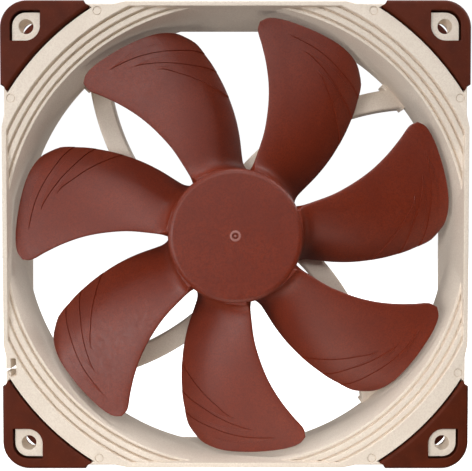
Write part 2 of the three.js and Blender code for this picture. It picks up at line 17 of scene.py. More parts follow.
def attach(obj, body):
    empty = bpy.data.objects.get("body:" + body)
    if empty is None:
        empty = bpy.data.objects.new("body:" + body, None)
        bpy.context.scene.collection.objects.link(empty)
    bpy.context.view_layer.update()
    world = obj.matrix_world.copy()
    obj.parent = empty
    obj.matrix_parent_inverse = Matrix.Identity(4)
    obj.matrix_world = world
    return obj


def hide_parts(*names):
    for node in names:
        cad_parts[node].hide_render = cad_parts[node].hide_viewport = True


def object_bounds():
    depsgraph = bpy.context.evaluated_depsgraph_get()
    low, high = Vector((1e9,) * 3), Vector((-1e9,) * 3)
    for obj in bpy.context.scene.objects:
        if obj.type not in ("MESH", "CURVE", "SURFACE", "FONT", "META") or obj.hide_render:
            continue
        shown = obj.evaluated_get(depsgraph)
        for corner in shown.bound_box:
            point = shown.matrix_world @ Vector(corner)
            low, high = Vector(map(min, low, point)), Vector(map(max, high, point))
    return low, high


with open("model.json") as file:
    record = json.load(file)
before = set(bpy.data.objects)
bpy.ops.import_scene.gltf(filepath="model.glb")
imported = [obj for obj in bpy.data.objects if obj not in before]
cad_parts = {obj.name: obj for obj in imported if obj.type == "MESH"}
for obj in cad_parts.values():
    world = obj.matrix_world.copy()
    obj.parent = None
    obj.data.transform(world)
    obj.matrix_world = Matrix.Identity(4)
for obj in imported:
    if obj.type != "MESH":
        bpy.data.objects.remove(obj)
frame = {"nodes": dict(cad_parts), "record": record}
CAD_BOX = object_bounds()
SCENE = bpy.context.scene

# ------------ driving dimensions
DEPTH = 25.0
HALF_SIDE = 70.0
HOLE_CENTRE = 62.25  # of a screw hole, from the fan's axis along x and along y
HOLE_RADIUS = 2.18
HOLE_EDGE = 0.2
BEYOND = 1.0  # how far a cutting shape runs past the piece that it cuts
SEAM = 0.05  # between a pad and the frame under it

# How many straight pieces stand for each kind of curve.
ROUND_STEPS = 240  # the large circles
SMALL_STEPS = 40  # the screw holes and the ejector marks
SWEEP_STEPS = 48  # a strut's arc, and a pad's inner edge
CORNER_STEPS = 16  # a quarter circle at a corner of the frame
LEAF_STEPS = 14  # a quarter circle round a screw boss
RIM_STEPS = 12  # the hub's rounded rim
FOOT_STEPS = 8  # a strut's foot
BAR_STEPS = 7  # a quarter circle at the front of a strut
ARC_EDGE_STEPS = 5  # the rounded inner edge of a pad
EDGE_STEPS = 3  # a small edge
THROAT_STEPS = 21  # the duct's wall from front to back
CURVE_STEPS = 400  # a wedge's edge, before the blade's grid takes points from it

# The pads stand proud of the flanges, so the front flange starts behind depth 0.
FLANGE = dict(front=0.5, back=5.3, edge=0.35)
# From the axis to the side's flat middle, to the recess before each pad, and to the side under it.
SIDE = dict(middle=69.7, half_length=32.5, recess=68.9, recess_start=36.2, core=68.6)
CORNER_RADIUS = 6.8
INNER_FLAT = 68.25  # from the axis to the flats that cut the round duct
INNER_ROUNDING = 1.0  # between two of the flats
WALL_RADIUS = 73.0
DUCT_EDGE = 0.2
# The inlet's stepped treads: radius of the step, and depth of the tread at its foot and end.
STEPS = [(75.1, 1.2, 1.3), (73.1, 1.9, 2.0), (70.95, 2.6, 2.7)]
GROOVE = dict(width=0.55, depth=0.75)  # at the foot of each step
# The duct's wall behind them: a smooth curve through points of (radius, depth).
WALL = [(69.6, 2.8), (69.3, 4.5), (68.95, 8), (68.7, 12), (68.95, 16), (69.7, 20.5), (70.65, 24.5)]

PAD = dict(
    start=45.1,  # where each leg ends on the outside, from the middle of the frame's side
    tip=43.2,  # and where its pointed inner end is
    tip_side=69.0,  # from the axis to the corner between the two
    arc=80.65,  # radius of the inner edge, about the axis
    arc_gap=0.6,  # between that edge and the frame
    corner_radius=8.2,
    skin=1.6,  # thickness in front of the flange
    lip_width=4.8,  # how far the pad reaches in behind the flange
    lip_depth=1.65,
    outer_edge=1.1,
    arc_edge=0.9,
    arc_undercut=0.5,
    back_edge=0.4,
    well_edge=0.15,  # on the frame, where it surrounds the pad
    collar=0.3,  # thickness of the hidden walls behind the skin
    collar_back=3.9,
    window=9.0,  # size of the opening round the screw boss
    window_centre=62.35,
    window_edge=0.12,
    window_skin=0.5,
    window_undercut=0.6,
)
BOSS = dict(size=8.3, moat=4.0, front=0.95, edge=0.15, sharp_corner=0.25)

STRUT = dict(
    count=4,
    hub_radius=19.0,  # the inner end of the strut's centre line
    hub_angle=82.0,
    frame_radius=71.8,  # and its outer end
    frame_angle=39.1,
    bulge=6.1,  # height of the arc over its chord
    width=6.5,
    front=19.6,
    front_edge=0.8,
    back_edge=0.4,
    foot_radius=68.4,
    foot_angle=41.4,
    foot_half_angle=4.4,
    foot_front=19.6,
    foot_edge=0.35,
    channel_width=3.6,
    channel_depth=2.4,
)
NOTCH = dict(
    height=-39.35,  # of the middle of the slot, on the frame's left side
    width=5.3,
    depth=3.0,
    mouth=1.0,  # width of the gap between the hooks
    mouth_height=-40.2,
    hook=1.5,
    corner=0.3,
    edge=0.15,
)
# Each ejector mark is this near the middle of one side and far from the other one's.
EJECTOR = dict(
    near=41.0, far=66.8, radius=1.3, depth=0.1, groove=0.2, groove_depth=0.35, edge=0.03
)

BASE = dict(
    radius=21.5, front=21.3, back=24.4, rim_front=19.2, rim_wall=1.9, edge=0.5, rounding=0.2
)
SOCKET = dict(radius=5.2, wall=1.4, front=17.5, floor=23.5)
LABEL = dict(radius=19.3, recess=0.5, front=24.2, back=24.38, edge=0.06)

HUB = dict(radius=20.5, front=1.5, back=18.7, wall=1.6, roof=2.0, rounding=1.8, back_edge=0.2)
HUB_RINGS = (2.0, 6.0, 12.0, 17.0)  # radii of the rings of faces on the hub's flat front
# The moulding gate's mark in the middle of the hub: radius, and depth below the hub's face.
GATE = [(0.0, 0.03), (0.28, 0.05), (0.42, 0.3), (0.88, 0.32), (1.0, 0.02), (1.1, -0.05)]
GATE += [(1.5, -0.06), (1.65, 0.0)]

BLADES = 7
FIRST_BLADE = 133.9  # angle of the forward tip of the first blade, in degrees
BLADE = dict(
    tip_radius=67.1,
    root_thickness=1.9,
    tip_thickness=1.2,
    edge_thickness=0.55,
    camber=0.65,
    leading_depth=(4.3, 3.4),  # at the root and at the tip
    trailing_depth=(17.4, 13.2),
    fillet=4.0,
    fillet_front=2.0,  # the depths that the fillet stays between, clear of the frame
    fillet_back=18.4,
)
# Stations up the blade: radius, angle of the leading edge, angle of the trailing edge.
STATIONS = [
    (19.7, -5.9, -51.6),
    (26.0, -7.3, -48.2),
    (32.0, -7.9, -46.1),
    (38.0, -7.1, -43.8),
    (45.0, -5.4, -40.7),
    (52.0, -2.9, -37.5),
    (58.0, -0.4, -34.5),
    (62.3, 1.3, -32.1),
    (65.0, 1.0, -29.3),
]
# The tip edge from the leading to the trailing corner: angle and radius.
TIP = [
    (1.0, 65.0),
    (-1.0, 66.5),
    *((angle, BLADE["tip_radius"]) for angle in (-4.3, -10.0, -16.0, -21.0)),
    (-24.3, 66.8),
    (-27.1, 66.1),
    (-29.3, 65.0),
]
# The blade's grid: chords near an edge, spans near the root and the tip, and rows between.
GRID = dict(
    edge_chords=[0, 0.0006, 0.002, 0.0045, 0.008],
    middle_chords=np.linspace(0.02, 0.98, 49),
    root_spans=(0, 0.016, 0.02, 0.026, 0.033, 0.042, 0.053, 0.07),
    tip_spans=(0.994, 0.9965, 0.9985, 0.9995, 1),
    rows_below_wedges=22,
    rows_between_wedges=5,
    rows_on_wedge=5,
    rows_above_wedges=9,
    slope_step=0.01,  # over which the surface's slope is taken
)
# Three long wedges stand proud of each blade's front. Each has an edge towards the hub and one
# towards the tip, given as shares of the chord and of the span, and starts in a point.
WEDGE = dict(
    rise_at_hub_edge=0.32,
    rise_at_tip_edge=0.2,
    wall=0.003,  # the share of the span that a wedge's side wall takes
    start_ramp=0.03,  # the share of the chord over which it rises
    end_ramp=0.02,
    least_end=0.2,  # how much of its rise is left at the trailing edge
)
WEDGES = [
    dict(
        start=0.465,
        hub_edge=[(0, 0.72), (0.473, 0.68), (0.583, 0.613), (0.728, 0.555), (0.833, 0.522)],
        tip_edge=[(0, 0.73), (0.476, 0.69), (0.565, 0.677), (0.713, 0.64), (0.885, 0.6)],
        ends=(0.484, 0.573),
    ),
    dict(
        start=0.375,
        hub_edge=[(0, 0.79), (0.385, 0.758), (0.473, 0.728), (0.573, 0.693), (0.695, 0.66)],
        tip_edge=[(0, 0.80), (0.385, 0.767), (0.487, 0.763), (0.608, 0.744), (0.838, 0.722)],
        ends=(0.632, 0.718),
    ),
    dict(
        start=0.28,
        hub_edge=[(0, 0.88), (0.288, 0.84), (0.443, 0.82), (0.545, 0.797), (0.665, 0.772)],
        tip_edge=[(0, 0.89), (0.3, 0.85), (0.417, 0.868), (0.52, 0.868), (0.675, 0.862)],
        ends=(0.762, 0.876),
    ),
]


# ------------ outlines in the plane
def polar(radius, degrees):
    angle = math.radians(degrees)
    return np.array([radius * math.cos(angle), radius * math.sin(angle)])


def arc(centre, radius, start, end, steps):
    """Points on an arc between two angles in degrees, both ends included."""
    return [np.array(centre) + polar(radius, a) for a in np.linspace(start, end, steps + 1)]


def small_circle(radius, centre):
    return arc(centre, radius, 0, 360, SMALL_STEPS)[:-1]


def rectangle(x0, y0, x1, y1):
    return [np.array(p, float) for p in ((x0, y0), (x1, y0), (x1, y1), (x0, y1))]


def rounded(points, radius, closed=True):
    """The same polyline with its corners rounded to a radius, or to less in a short side."""
    points = [np.array(p, float) for p in points]
    out = []
    for i, corner in enumerate(points):
        if not closed and i in (0, len(points) - 1):
            out.append(corner)
            continue
        before, after = points[i - 1] - corner, points[(i + 1) % len(points)] - corner
        room = min(np.linalg.norm(before), np.linalg.norm(after)) / 2
        before, after = before / np.linalg.norm(before), after / np.linalg.norm(after)
        half_angle = math.acos(np.clip(before @ after, -1, 1)) / 2
        if half_angle > math.radians(89):
            out.append(corner)
            continue
        reach = min(radius / math.tan(half_angle), room)
        for t in np.linspace(0, 1, EDGE_STEPS + 1):
            out.append(corner + reach * ((1 - t) ** 2 * before + t**2 * after))
    return out


def rounded_square(half, radius):
    """A square about the axis with round corners, anticlockwise."""
    straight = half - radius
    out = []
    for quarter, (sx, sy) in enumerate(((1, 1), (-1, 1), (-1, -1), (1, -1))):
        centre = (sx * straight, sy * straight)
        out += arc(centre, radius, quarter * 90, quarter * 90 + 90, CORNER_STEPS)
    return out


def grown(outline, amount):
    """An anticlockwise outline moved outwards by an amount, or inwards if it is negative."""
    points = np.array(outline)
    along = np.roll(points, -1, 0) - points
    along /= np.linalg.norm(along, axis=1)[:, None]
    normal = np.stack([along[:, 1], -along[:, 0]], 1)
    before = np.roll(normal, 1, 0)
    share = 1 + np.sum(normal * before, 1)
    return list(points + amount * (normal + before) / share[:, None])


def leaf(size, sharp_corner, middle=HOLE_CENTRE):
    """A square about the screw hole with two opposite corners fully rounded."""
    half = size / 2
    centre = (middle, middle)
    low, high = middle - half + sharp_corner, middle + half - sharp_corner
    return [
        *arc(centre, half, 180, 270, LEAF_STEPS),
        *arc((high, low), sharp_corner, 270, 360, EDGE_STEPS),
        *arc(centre, half, 0, 90, LEAF_STEPS),
        *arc((low, high), sharp_corner, 90, 180, EDGE_STEPS),
    ]


def along_rows(rows, t):
    """Points on the smooth curve through rows of numbers, t running from 0 to 1.

    Each stretch is a cubic whose end slopes come from the rows on either side, weighted by how
    far apart the rows are, so that the curve makes no loops.
    """
    rows = np.array(rows, float)
    place = np.asarray(t, float) * (len(rows) - 1)
    i = np.minimum(np.floor(place).astype(int), len(rows) - 2)
    w = (place - i)[..., None]
    ends = np.vstack([2 * rows[0] - rows[1], rows, 2 * rows[-1] - rows[-2]])
    p0, p1, p2, p3 = (ends[i + k] for k in range(4))

    def knot(a, b):
        return np.sum((a - b) ** 2, -1, keepdims=True) ** 0.25

    d0, d1, d2 = knot(p0, p1), knot(p1, p2), knot(p2, p3)
    m1 = ((p1 - p0) / d0 - (p2 - p0) / (d0 + d1) + (p2 - p1) / d1) * d1
    m2 = ((p2 - p1) / d1 - (p3 - p1) / (d1 + d2) + (p3 - p2) / d2) * d1
    curve = p1 + m1 * w + (-3 * p1 + 3 * p2 - 2 * m1 - m2) * w**2
    return curve + (2 * p1 - 2 * p2 + m1 + m2) * w**3


def lerp(a, b, t):
    return a + (b - a) * t


# ------------ solids, and their joining
def split_large_faces(work):
    """Cuts every face of more than four sides into triangles, so that a later cut stays clean."""
    large = [face for face in work.faces if len(face.verts) > 4]
    bmesh.ops.triangulate(work, faces=large)


def solid(points, faces):
    """A closed mesh from points (x, y, depth) in millimetres, with its faces outwards."""
    mesh = bpy.data.meshes.new("solid")
    mesh.from_pydata([(x, depth - DEPTH / 2, y) for x, y, depth in points], [], faces)
    work = bmesh.new()
    work.from_mesh(mesh)
    bmesh.ops.remove_doubles(work, verts=work.verts, dist=1e-4)
    loose = [edge for edge in work.edges if edge.is_wire]
    bmesh.ops.delete(work, geom=loose, context="EDGES")
    bmesh.ops.recalc_face_normals(work, faces=work.faces)
    if work.calc_volume(signed=True) < 0:
        bmesh.ops.reverse_faces(work, faces=work.faces)
    split_large_faces(work)
    work.to_mesh(mesh)
    work.free()
    obj = bpy.data.objects.new("solid", mesh)
    SCENE.collection.objects.link(obj)
    return obj


def loft(rings, closed=False):
    """A solid through rings of equally many points. The last ring joins the first if closed."""
    count, size = len(rings), len(rings[0])
    faces = []
    for i in range(count if closed else count - 1):
        a, b = i * size, (i + 1) % count * size
        for j in range(size):
            k = (j + 1) % size
            faces.append((a + j, a + k, b + k, b + j))
    if not closed:
        faces.append(tuple(range(size))[::-1])
        faces.append(tuple(range((count - 1) * size, count * size)))
    return solid([p for ring in rings for p in ring], faces)


def slab(outline, front, back, front_edge=0.0, back_edge=0.0):
    """An outline made thick. A positive edge is rounded off; a negative one flares out."""
    rings = []
    for depth, edge, inwards in ((front, front_edge, 1), (back, back_edge, -1)):
        steps = EDGE_STEPS if edge else 0
        part = []
        for angle in np.linspace(0, math.pi / 2, steps + 1):
            shrink = edge * (1 - math.sin(angle))
            sink = abs(edge) * (1 - math.cos(angle))
            part.append((-shrink if edge else 0, depth + inwards * sink))
        rings += part if inwards == 1 else part[::-1]
    shape = [[(x, y, depth) for x, y in grown(outline, amount)] for amount, depth in rings]
    return loft(shape)


def pocket(outline, floor, surface, edge, back=False):
    """A cutter from in front of a surface down to a floor, which rounds the surface's edge."""
    outside = surface - BEYOND
    shape = [(edge, outside), (edge, surface)]
    for angle in np.linspace(0, math.pi / 2, EDGE_STEPS + 1)[1:]:
        shape.append((edge * (1 - math.sin(angle)), surface + edge * (1 - math.cos(angle))))
    shape.append((0, floor))
    rings = []
    for amount, depth in shape:
        depth = DEPTH - depth if back else depth
        rings.append([(x, y, depth) for x, y in grown(outline, amount)])
    return loft(rings)


def turned(profile):
    """A closed profile of (radius, depth) turned about the fan's axis."""
    rings = []
    for angle in np.linspace(0, 360, ROUND_STEPS, endpoint=False):
        rings.append([(*polar(radius, angle), depth) for radius, depth in profile])
    return loft(rings, closed=True)


def combine(base, others, operation="UNION"):
    """Joins the others to a solid, cuts them out of it, or keeps what it shares with them."""
    for other in others:
        modifier = base.modifiers.new("combine", "BOOLEAN")
        modifier.operation = operation
        modifier.solver = "MANIFOLD"
        modifier.object = other
    depsgraph = bpy.context.evaluated_depsgraph_get()
    mesh = bpy.data.meshes.new_from_object(base.evaluated_get(depsgraph))
    work = bmesh.new()
    work.from_mesh(mesh)
    split_large_faces(work)
    work.to_mesh(mesh)
    work.free()
    base.modifiers.clear()
    base.data = mesh
    for other in others:
        bpy.data.objects.remove(other)
    return base


def moved(base, matrix):
    """A copy of a solid, moved."""
    copy = base.copy()
    copy.data = base.data.copy()
    copy.data.transform(matrix)
    if matrix.determinant() < 0:
        copy.data.flip_normals()
    SCENE.collection.objects.link(copy)
    return copy


def around(count, base):
    """Copies of a solid in equal steps round the fan's axis, itself first."""
    turns = [Matrix.Rotation(-2 * math.pi * i / count, 4, "Y") for i in range(1, count)]
    return [base, *(moved(base, turn) for turn in turns)]


def front_and_back(base):
    """A solid and its mirror image in the other flange."""
    return [base, moved(base, Matrix.Diagonal((1, -1, 1, 1)))]


# ------------ the frame
def flange_outline():
    """Flat sides, a recess before each pad, and round corners, anticlockwise."""
    end = PAD["start"]
    half_side = [
        (SIDE["middle"], SIDE["half_length"]),
        (SIDE["recess"], SIDE["recess_start"]),
        (SIDE["recess"], end),
        (SIDE["core"], end + SEAM),
    ]
    centre = SIDE["core"] - CORNER_RADIUS
    side = [(x, -y) for x, y in half_side[::-1]] + half_side
    quarter = side + arc((centre, centre), CORNER_RADIUS, 0, 90, CORNER_STEPS)
    out = []
    for turn in range(4):
        angle = math.radians(90 * turn)
        cos, sin = math.cos(angle), math.sin(angle)
        rotate = np.array([[cos, -sin], [sin, cos]])
        out += [rotate @ np.array(p) for p in quarter]
    return out


def corner_outline(shrink):
    """The corner of a flange where a pad sits, outside a circle about the fan's axis."""
    radius = PAD["arc"] + shrink
    start, tip, reach = PAD["start"] + shrink / 2, PAD["tip"] + shrink, HALF_SIDE + BEYOND
    angle = math.degrees(math.acos(tip / radius))
    inner = arc((0, 0), radius, angle, 90 - angle, SWEEP_STEPS)
    side = PAD["tip_side"]
    return [*inner, (side, start), (reach, start), (reach, reach), (start, reach), (start, side)]


def air_duct():
    """The turned duct through the frame, cut off by a flat on each side."""
    edge = DUCT_EDGE
    front, back = FLANGE["front"], DEPTH - FLANGE["front"]
    mouth, outlet = STEPS[0][0], WALL[-1][0]
    steps = [(mouth + edge, -BEYOND), (mouth + edge, front), (mouth, front + edge)]
    ends = [radius for radius, _, _ in STEPS[1:]] + [WALL[0][0]]
    for (radius, foot, end_depth), end in zip(STEPS, ends):
        groove_end, groove_floor = radius - GROOVE["width"], foot + GROOVE["depth"]
        steps += [(radius, groove_floor), (groove_end, groove_floor), (groove_end, foot)]
        steps.append((end, end_depth))
    steps.append(WALL[1])
    after_first = 1 / (len(WALL) - 1)
    throat = list(along_rows(WALL, np.linspace(after_first, 1, THROAT_STEPS)))
    rear = [(outlet, back - edge), (outlet + edge, back), (outlet + edge, DEPTH + BEYOND)]
    wall = rounded(steps, edge, closed=False) + throat[1:-1] + rear
    profile = [(0, -BEYOND), *wall, (0, DEPTH + BEYOND)]
    square = rounded_square(INNER_FLAT, INNER_ROUNDING)
    half_depth = DEPTH / 2
    halves = pocket(square, half_depth + SEAM, front, edge)
    flats = combine(halves, [pocket(square, half_depth, front, edge, back=True)])
    return combine(turned(profile), [flats], "INTERSECT")


def frame_shell():
    """The two flanges and the wall between them, with the duct cut through."""
    front, back, edge = FLANGE["front"], FLANGE["back"], FLANGE["edge"]
    flange = slab(flange_outline(), front, back, edge)
    inside = (front + back) / 2
    profile = [(0, inside), (WALL_RADIUS, inside), (WALL_RADIUS, DEPTH - inside)]
    wall = turned([*profile, (0, DEPTH - inside)])
    side = SIDE["middle"]
    walls = combine(wall, [slab(rectangle(-side, -side, side, side), 0, DEPTH)], "INTERSECT")
    shell = combine(walls, front_and_back(flange))
    return combine(shell, [air_duct()], "DIFFERENCE")


def undercut_outline(extra=0.0):
    """The room round the screw boss, hidden under the rim of the pad's window."""
    size = PAD["window"] + 2 * (PAD["window_undercut"] + extra)
    return leaf(size, BOSS["sharp_corner"] + extra, PAD["window_centre"])


def corner_cuts():
    """The pocket under each pad, the screw boss left standing in it, and the screw holes."""
    floor = PAD["skin"] + SEAM
    front = FLANGE["front"]
    outline = corner_outline(-PAD["arc_gap"])
    well = pocket(outline, floor, front, PAD["well_edge"])
    moat = slab(undercut_outline(PAD["collar"] + SEAM), front, BOSS["moat"])
    trench = slab(outline, front, BOSS["moat"])
    end = PAD["arc"] + PAD["arc_undercut"] + PAD["collar"] + SEAM
    inside = turned([(0, 0), (end, 0), (end, DEPTH), (0, DEPTH)])
    well = combine(well, [moat, combine(trench, [inside], "INTERSECT")])
    boss = leaf(BOSS["size"], BOSS["sharp_corner"])
    post = slab(boss, BOSS["front"], DEPTH / 2, BOSS["edge"])
    well = combine(well, [post], "DIFFERENCE")
    hole = small_circle(HOLE_RADIUS, (HOLE_CENTRE, HOLE_CENTRE))
    drill = pocket(hole, DEPTH / 2 + SEAM, BOSS["front"], HOLE_EDGE)
    cuts = [*front_and_back(well), *front_and_back(drill)]
    return [copy for cut in cuts for copy in around(4, cut)]


def notch_cuts():
    """The cable notch in the left side of each flange: a slot behind two small hooks."""
    height, half = NOTCH["height"], NOTCH["width"] / 2
    edge, outside = -SIDE["recess"], -HALF_SIDE - BEYOND
    slot_start, slot_end = edge + NOTCH["hook"], edge + NOTCH["depth"]
    slot = rectangle(slot_start, height - half, slot_end, height + half)
    height, half = NOTCH["mouth_height"], NOTCH["mouth"] / 2
    gate = rectangle(outside, height - half, (slot_start + slot_end) / 2, height + half)
    floor = FLANGE["back"] + BEYOND
    outlines = [rounded(slot, NOTCH["corner"]), gate]
    cuts = [pocket(outline, floor, FLANGE["front"], NOTCH["edge"]) for outline in outlines]
    return [copy for cut in cuts for copy in front_and_back(cut)]


def ejector_marks():
    """Eight round marks on the front, two beside each pad: shallow, with a fine groove round."""
    near, far, radius = EJECTOR["near"], EJECTOR["far"], EJECTOR["radius"]
    surface = FLANGE["front"]
    marks = []
    for centre in ((near, far), (far, near)):
        island = small_circle(radius - EJECTOR["groove"], centre)
        outline = small_circle(radius, centre)
        ring = pocket(outline, surface + EJECTOR["groove_depth"], surface, EJECTOR["edge"])
        inside = slab(island, surface + EJECTOR["depth"], surface + BEYOND)
        marks += around(4, combine(ring, [inside], "DIFFERENCE"))
    return marks


def strut_line():
    """Centre, radius and end angles in degrees of the arc that a strut follows."""
    hub_end = polar(STRUT["hub_radius"], STRUT["hub_angle"])
    frame_end = polar(STRUT["frame_radius"], STRUT["frame_angle"])
    chord = frame_end - hub_end
    half = np.linalg.norm(chord) / 2
    bulge = STRUT["bulge"]
    radius = (half**2 + bulge**2) / (2 * bulge)
    outwards = np.array([-chord[1], chord[0]]) / np.linalg.norm(chord)
    centre = (hub_end + frame_end) / 2 + outwards * (bulge - radius)
    ends = [math.degrees(math.atan2(*(p - centre)[::-1])) for p in (hub_end, frame_end)]
    return centre, radius, ends


def strut_band(section, start, end):
    """A section (offset outwards, depth) swept along the strut's arc between two angles."""
    centre, radius, _ = strut_line()
    rings = []
    for angle in np.linspace(start, end, SWEEP_STEPS + 1):
        rings.append([(*(centre + polar(radius + x, angle)), depth) for x, depth in section])
    return loft(rings)


def strut_section():
    """A strut's section with a well rounded front and a slightly rounded back."""
    half, front, back = STRUT["width"] / 2, STRUT["front"], DEPTH - FLANGE["front"]
    large, small = STRUT["front_edge"], STRUT["back_edge"]
    return [
        *arc((half - large, front + large), large, 0, -90, BAR_STEPS),
        *arc((large - half, front + large), large, -90, -180, BAR_STEPS),
        *arc((small - half, back - small), small, 180, 90, EDGE_STEPS),
        *arc((half - small, back - small), small, 90, 0, EDGE_STEPS),
    ]


def strut_foot():
    """A block along the duct wall, round the strut's outer end."""
    middle, half = STRUT["foot_angle"], STRUT["foot_half_angle"]
    start, end = middle - half, middle + half
    outline = arc((0, 0), STRUT["frame_radius"], start, end, FOOT_STEPS)
    outline += arc((0, 0), STRUT["foot_radius"], end, start, FOOT_STEPS)
    back = DEPTH - FLANGE["front"]
    edge = STRUT["foot_edge"]
    return slab(rounded(outline, edge), STRUT["foot_front"], back, edge, STRUT["back_edge"])


def strut():
    """One strut with its stepped foot on the duct wall, cut off at the motor's base."""
    _, _, (start, end) = strut_line()
    body = combine(strut_band(strut_section(), start, end), [strut_foot()])
    inner = BASE["radius"] - BASE["rim_wall"]
    back = DEPTH + BEYOND
    room = turned([(0, HUB["front"]), (inner, HUB["front"]), (inner, back), (0, back)])
    return combine(body, [room], "DIFFERENCE")


def motor_base():
    """The disc that carries the motor, with its rim, its bearing socket and a label recess."""
    radius, back, edge = BASE["radius"], BASE["back"], BASE["edge"]
    inner = radius - BASE["rim_wall"]
    floor = back - LABEL["recess"]
    wall = SOCKET["radius"] + SOCKET["wall"]
    line = [
        (0, SOCKET["floor"]),
        (SOCKET["radius"], SOCKET["floor"]),
        (SOCKET["radius"], SOCKET["front"]),
        (wall, SOCKET["front"]),
        (wall, BASE["front"]),
        (inner, BASE["front"]),
        (inner, BASE["rim_front"]),
        (radius, BASE["rim_front"]),
        (radius, back - edge),
        (radius - edge, back),
        (inner, back),
        (inner, floor),
        (0, floor),
    ]
    return turned(rounded(line, BASE["rounding"], closed=False))


def lead_channel():
    """The channel for the leads, in the back of the strut that ends beside the notch."""
    _, radius, (start, end) = strut_line()
    half = STRUT["channel_width"] / 2
    floor = DEPTH - FLANGE["front"] - STRUT["channel_depth"]
    section = rectangle(-half, floor, half, DEPTH + BEYOND)
    past = math.degrees(BEYOND / radius)
    channel = strut_band(section, start + past, end - past)
    channel.data.transform(Matrix.Rotation(math.pi, 4, "Y"))
    return channel


def frame_piece():
    body = combine(frame_shell(), [*around(STRUT["count"], strut()), motor_base()])
    cuts = [*corner_cuts(), *notch_cuts(), *ejector_marks(), lead_channel()]
    return combine(body, cuts, "DIFFERENCE")


# ------------ the corner pads
def pad_collars(arc_radius):
    """Thin walls behind the pad's skin: round its window, and along its edge to the duct."""
    start, end = PAD["skin"] - SEAM, PAD["collar_back"]
    collar = slab(undercut_outline(PAD["collar"]), start, end)
    outer = arc_radius + PAD["collar"]
    ring = turned([(arc_radius, start), (outer, start), (outer, end), (arc_radius, end)])
    corner = slab(corner_outline(0), start - BEYOND, end + BEYOND)
    core = slab(rounded_square(SIDE["core"] - SEAM, CORNER_RADIUS), start - BEYOND, end + BEYOND)
    return [collar, combine(ring, [combine(corner, [core], "INTERSECT")], "INTERSECT")]


def corner_pad():
    """A pad over the front corner to the upper right: skin, outer edges and a lip behind."""
    skin = PAD["skin"]
    lip_front = FLANGE["back"] + SEAM
    back = lip_front + PAD["lip_depth"]
    corner = rounded_square(HALF_SIDE, PAD["corner_radius"])
    pad = slab(corner, 0, back, PAD["outer_edge"], PAD["back_edge"])
    pad = combine(pad, [slab(corner_outline(0), -BEYOND, back + BEYOND)], "INTERSECT")
    core = rounded_square(SIDE["core"] + SEAM, CORNER_RADIUS + SEAM)
    inner = HALF_SIDE - PAD["lip_width"]
    lip_inside = rounded_square(inner, PAD["corner_radius"] - PAD["lip_width"])
    edge, radius = PAD["arc_edge"], PAD["arc"]
    ramp = [(radius - BEYOND, -BEYOND), (radius + edge, -BEYOND), (radius + edge, 0)]
    for angle in np.linspace(0, math.pi / 2, ARC_EDGE_STEPS + 1)[1:]:
        ramp.append((radius + edge * (1 - math.sin(angle)), edge * (1 - math.cos(angle))))
    under = radius + PAD["arc_undercut"]
    ramp += [(radius, edge + SEAM), (under, edge + SEAM), (under, back + BEYOND)]
    ramp.append((radius - BEYOND, back + BEYOND))
    window = leaf(PAD["window"], BOSS["sharp_corner"], PAD["window_centre"])
    room = [slab(core, skin, lip_front), slab(lip_inside, skin + BEYOND / 2, back + BEYOND)]
    pad = combine(combine(pad, room, "DIFFERENCE"), pad_collars(under))
    cuts = [
        turned(ramp),
        pocket(window, skin + BEYOND / 2, 0, PAD["window_edge"]),
        slab(undercut_outline(), PAD["window_skin"], PAD["collar_back"] + BEYOND),
    ]
    return combine(pad, cuts, "DIFFERENCE")


# ------------ the impeller
def blade_points(span, chord):
    """Points (x, y, depth) of the blade's middle surface, span and chord from 0 to 1."""
    station = along_rows(STATIONS, span)
    tip = along_rows(TIP, chord)
    top_radius, top_leading, top_trailing = STATIONS[-1]
    shift = tip[..., 0] - lerp(top_leading, top_trailing, chord)
    angle = np.radians(FIRST_BLADE + lerp(station[..., 1], station[..., 2], chord) + span * shift)
    radius = station[..., 0] + span * (tip[..., 1] - top_radius)
    sweep = chord + BLADE["camber"] * (chord**2 - chord)
    leading, trailing = lerp(*BLADE["leading_depth"], span), lerp(*BLADE["trailing_depth"], span)
    depth = lerp(leading, trailing, sweep)
    return np.stack([radius * np.cos(angle), radius * np.sin(angle), depth], -1)


def blade_normals(span, chord):
    """The surface's normals, towards the front."""
    step = GRID["slope_step"]
    up = blade_points(np.minimum(span + step, 1), chord)
    up -= blade_points(np.maximum(span - step, 0), chord)
    across = blade_points(span, np.minimum(chord + step, 1))
    across -= blade_points(span, np.maximum(chord - step, 0))
    normal = np.cross(up, across)
    normal /= np.linalg.norm(normal, axis=-1, keepdims=True)
    return normal * -np.sign(normal[..., 2:])


def edge_curve(points, end, chords):
    """A wedge's edge as a span for each chord."""
    curve = along_rows([*points, (1, end)], np.linspace(0, 1, CURVE_STEPS))
    return np.interp(chords, curve[:, 0], curve[:, 1])


